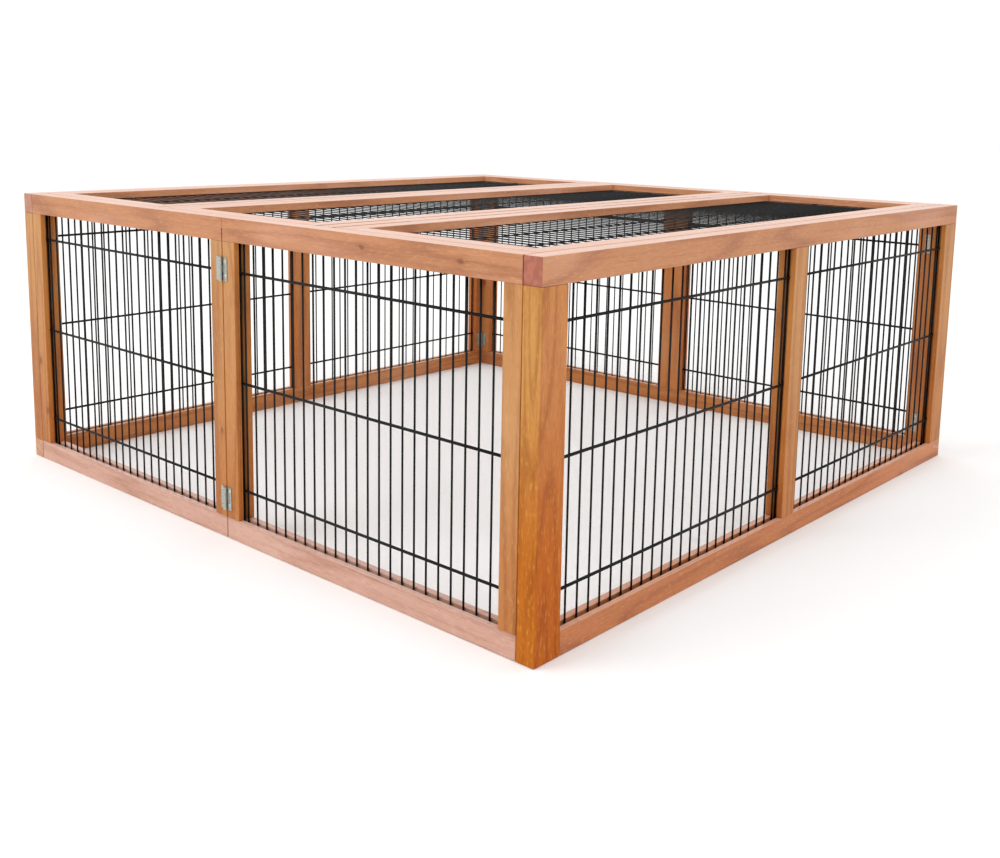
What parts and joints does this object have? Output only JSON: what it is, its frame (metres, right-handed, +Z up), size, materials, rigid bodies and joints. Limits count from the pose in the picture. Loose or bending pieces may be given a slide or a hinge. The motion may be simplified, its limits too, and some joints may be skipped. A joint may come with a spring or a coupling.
{
  "type": "folding pet run",
  "caption": "Square folding pet run: stained timber frames filled with black welded wire, hinged to fold flat, with a lift-off lid of wire flaps",
  "frame": {"origin": "on the ground, in the middle of the square run", "axes": "+Z up, -Y towards the front folding side, +X towards the right rigid frame"},
  "size_m": [1.2, 1.2122, 0.48],
  "materials": {
    "stained_wood": "satin",
    "black_wire": "satin",
    "zinc": "satin"
  },
  "bodies": {
    "left_frame": {"left_top_rail": "stained_wood", "left_bottom_rail": "stained_wood", "left_front_stile": "stained_wood", "left_rear_stile": "stained_wood", "left_centre_post": "stained_wood", "left_front_mesh": "black_wire", "left_rear_mesh": "black_wire", "left_hinge_leaves": "zinc", "left_hinge_pins": "zinc"},
    "front_left": {"front_left_top_rail": "stained_wood", "front_left_bottom_rail": "stained_wood", "front_left_corner_stile": "stained_wood", "front_left_middle_stile": "stained_wood", "front_left_mesh": "black_wire", "front_left_hinge_leaves": "zinc", "front_left_hinge_pins": "zinc"},
    "front_right": {"front_right_top_rail": "stained_wood", "front_right_bottom_rail": "stained_wood", "front_right_corner_stile": "stained_wood", "front_right_middle_stile": "stained_wood", "front_right_mesh": "black_wire", "front_right_hinge_leaves": "zinc"},
    "right_frame": {"right_top_rail": "stained_wood", "right_bottom_rail": "stained_wood", "right_front_stile": "stained_wood", "right_rear_stile": "stained_wood", "right_centre_post": "stained_wood", "right_front_mesh": "black_wire", "right_rear_mesh": "black_wire", "right_hinge_leaves": "zinc", "right_hinge_pins": "zinc"},
    "rear_left": {"rear_left_top_rail": "stained_wood", "rear_left_bottom_rail": "stained_wood", "rear_left_corner_stile": "stained_wood", "rear_left_middle_stile": "stained_wood", "rear_left_mesh": "black_wire", "rear_left_hinge_leaves": "zinc", "rear_left_hinge_pins": "zinc"},
    "rear_right": {"rear_right_top_rail": "stained_wood", "rear_right_bottom_rail": "stained_wood", "rear_right_corner_stile": "stained_wood", "rear_right_middle_stile": "stained_wood", "rear_right_mesh": "black_wire", "rear_right_hinge_leaves": "zinc"},
    "lid_frame": {"lid_front_rail": "stained_wood", "lid_rear_rail": "stained_wood", "lid_left_bar": "stained_wood", "lid_right_bar": "stained_wood", "lid_hinge_leaves": "zinc", "lid_hinge_pins": "zinc"},
    "left_flap": {"left_flap_frame": "stained_wood", "left_flap_mesh": "black_wire", "left_flap_hinge_leaves": "zinc"},
    "middle_flap": {"middle_flap_frame": "stained_wood", "middle_flap_mesh": "black_wire", "middle_flap_hinge_leaves": "zinc"},
    "right_flap": {"right_flap_frame": "stained_wood", "right_flap_mesh": "black_wire", "right_flap_hinge_leaves": "zinc"}
  },
  "joints": [
    {"name": "fold", "type": "hinge", "parent": "left_frame", "child": "front_left", "pos_m": [-0.5687, -0.5687, 0.234], "axis": [0, 0, 1], "range_deg": [0, 85]},
    {"name": "front_seam", "type": "hinge", "parent": "front_left", "child": "front_right", "pos_m": [0, -0.6033, 0.234], "axis": [0, 0, 1], "range_deg": [-170, 0]},
    {"name": "front_right_corner", "type": "hinge", "parent": "front_right", "child": "right_frame", "pos_m": [0.5687, -0.5687, 0.234], "axis": [0, 0, 1], "range_deg": [0, 85]},
    {"name": "rear_left_corner", "type": "hinge", "parent": "left_frame", "child": "rear_left", "pos_m": [-0.5687, 0.5687, 0.234], "axis": [0, 0, 1], "range_deg": [-85, 0]},
    {"name": "rear_seam", "type": "hinge", "parent": "rear_left", "child": "rear_right", "pos_m": [0, 0.6033, 0.234], "axis": [0, 0, 1], "range_deg": [0, 170]},
    {"name": "lid_lift", "type": "slide", "parent": "left_frame", "child": "lid_frame", "axis": [0, 0, 1], "range_m": [0, 0.3]},
    {"name": "left_flap_hinge", "type": "hinge", "parent": "lid_frame", "child": "left_flap", "pos_m": [-0.2099, 0, 0.4776], "axis": [0, 1, 0], "range_deg": [0, 90]},
    {"name": "middle_flap_hinge", "type": "hinge", "parent": "lid_frame", "child": "middle_flap", "pos_m": [0.1761, 0, 0.4776], "axis": [0, 1, 0], "range_deg": [0, 90]},
    {"name": "right_flap_hinge", "type": "hinge", "parent": "lid_frame", "child": "right_flap", "pos_m": [0.2099, 0, 0.4776], "axis": [0, -1, 0], "range_deg": [0, 90]}
  ],
  "couplings": [
    {"joint": "front_seam", "follows": "fold", "ratio": -2},
    {"joint": "front_right_corner", "follows": "fold", "ratio": 1},
    {"joint": "rear_left_corner", "follows": "fold", "ratio": -1},
    {"joint": "rear_seam", "follows": "fold", "ratio": 2},
    {"joint": "lid_lift", "follows": "fold", "m_per_rad": 0.2022}
  ]
}
